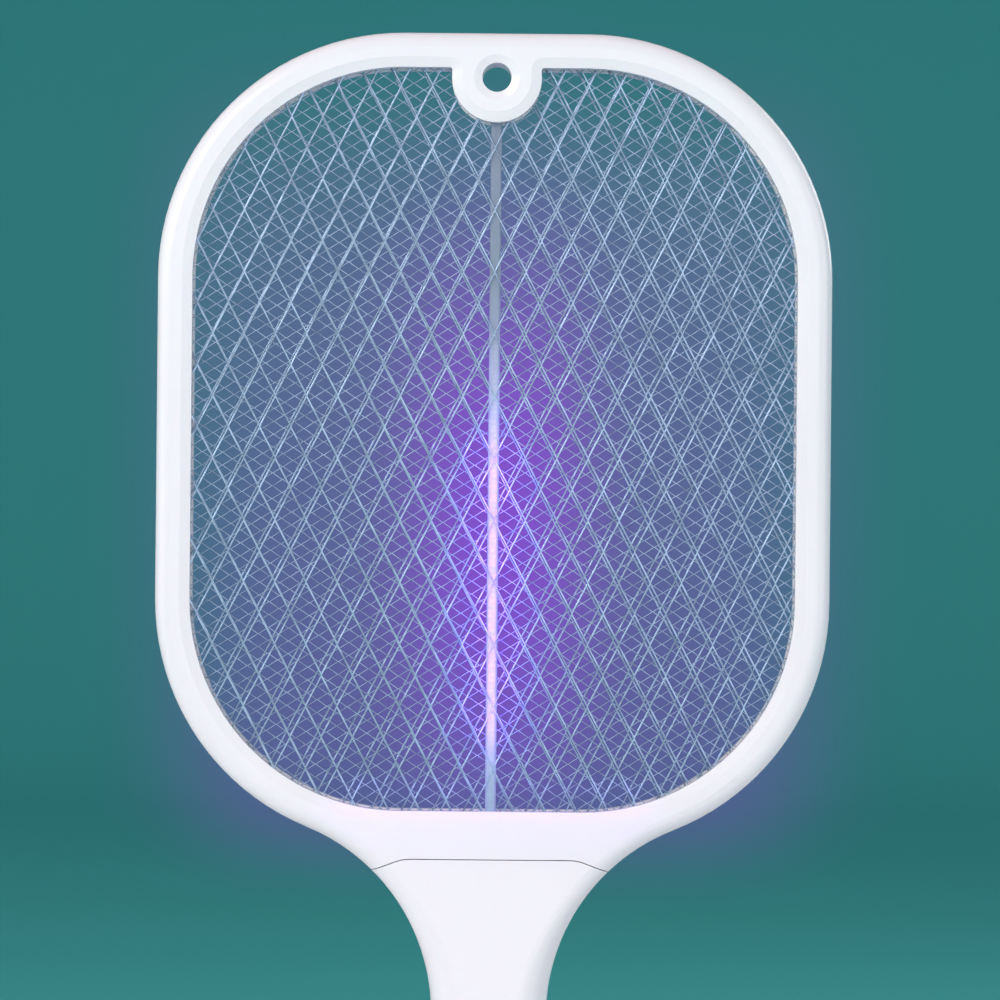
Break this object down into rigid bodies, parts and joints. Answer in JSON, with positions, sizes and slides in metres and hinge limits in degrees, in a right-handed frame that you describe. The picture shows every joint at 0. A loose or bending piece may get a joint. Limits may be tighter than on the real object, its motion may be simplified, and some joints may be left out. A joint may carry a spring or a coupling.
{
  "type": "electric fly swatter",
  "caption": "Rechargeable racket-shaped electric fly swatter with layered nets, a glowing centre bar, a hanging eyelet and a white handle.",
  "frame": {"origin": "centre of the hanging hole, halfway through the head", "axes": "+Z along the swatter towards the top of the head, -Y is the front with the button, X across the head"},
  "size_m": [0.2166, 0.0296, 0.4764],
  "materials": {
    "white_abs": "gloss moulded",
    "guard_steel": "bright nickel plated",
    "fine_steel": "bright nickel plated",
    "spacer_plastic": "moulded",
    "guide_acrylic": "polished clear",
    "led_package": "moulded",
    "circuit_board": "solder mask",
    "brass": "stamped",
    "plated_steel": "zinc plated",
    "red_wire": "satin",
    "black_wire": "satin",
    "white_wire": "satin",
    "switch_plastic": "moulded",
    "switch_metal": "drawn",
    "control_abs": "gloss moulded",
    "indicator_epoxy": "moulded clear",
    "lens_clear": "moulded clear",
    "ferrite": "fired",
    "winding_tape": "taped",
    "capacitor_epoxy": "dipped",
    "diode_epoxy": "moulded",
    "resistor_enamel": "enamelled",
    "cell_sleeve": "shrink sleeve",
    "cradle_abs": "moulded"
  },
  "bodies": {
    "root": {"head_front_frame": "white_abs", "head_rear_frame": "white_abs", "head_screws": "plated_steel", "front_guard_net": "guard_steel", "high_voltage_net": "fine_steel", "rear_guard_net": "guard_steel", "front_net_spacer": "spacer_plastic", "rear_net_spacer": "spacer_plastic", "light_guide": "guide_acrylic", "lamp_board": "circuit_board", "violet_led": "led_package", "front_net_terminal": "brass", "high_voltage_terminal": "brass", "rear_net_terminal": "brass", "front_net_lead": "black_wire", "high_voltage_lead": "red_wire", "rear_net_lead": "black_wire", "lamp_leads": "white_wire", "handle_front_shell": "white_abs", "handle_rear_shell": "white_abs", "handle_screws": "plated_steel", "main_circuit_board": "circuit_board", "board_screws": "plated_steel", "button_switch": "switch_plastic", "slide_switch": "switch_metal", "indicator_led": "indicator_epoxy", "indicator_lens": "lens_clear", "transformer_core": "ferrite", "transformer_winding": "winding_tape", "high_voltage_capacitor": "capacitor_epoxy", "rectifier_diodes": "diode_epoxy", "resistors": "resistor_enamel", "switching_transistor": "diode_epoxy", "battery_cell": "cell_sleeve", "battery_cradle": "cradle_abs", "battery_contact_positive": "plated_steel", "battery_contact_negative": "plated_steel", "battery_leads": "red_wire", "usb_socket": "switch_metal", "charge_board": "circuit_board", "charge_leads": "black_wire"},
    "zap_button": {"zap_button": "control_abs", "switch_plunger": "switch_plastic"},
    "mode_slider": {"mode_slider": "control_abs", "switch_lever": "switch_plastic"}
  },
  "joints": [
    {"name": "zap_button_press", "type": "slide", "parent": "root", "child": "zap_button", "axis": [0, 1, 0], "range_m": [0, 0.001], "stiffness_N_per_m": 1200, "springref_m": -0.0005},
    {"name": "mode_slider_slide", "type": "slide", "parent": "root", "child": "mode_slider", "axis": [0, 0, 1], "range_m": [-0.002, 0.002]}
  ]
}
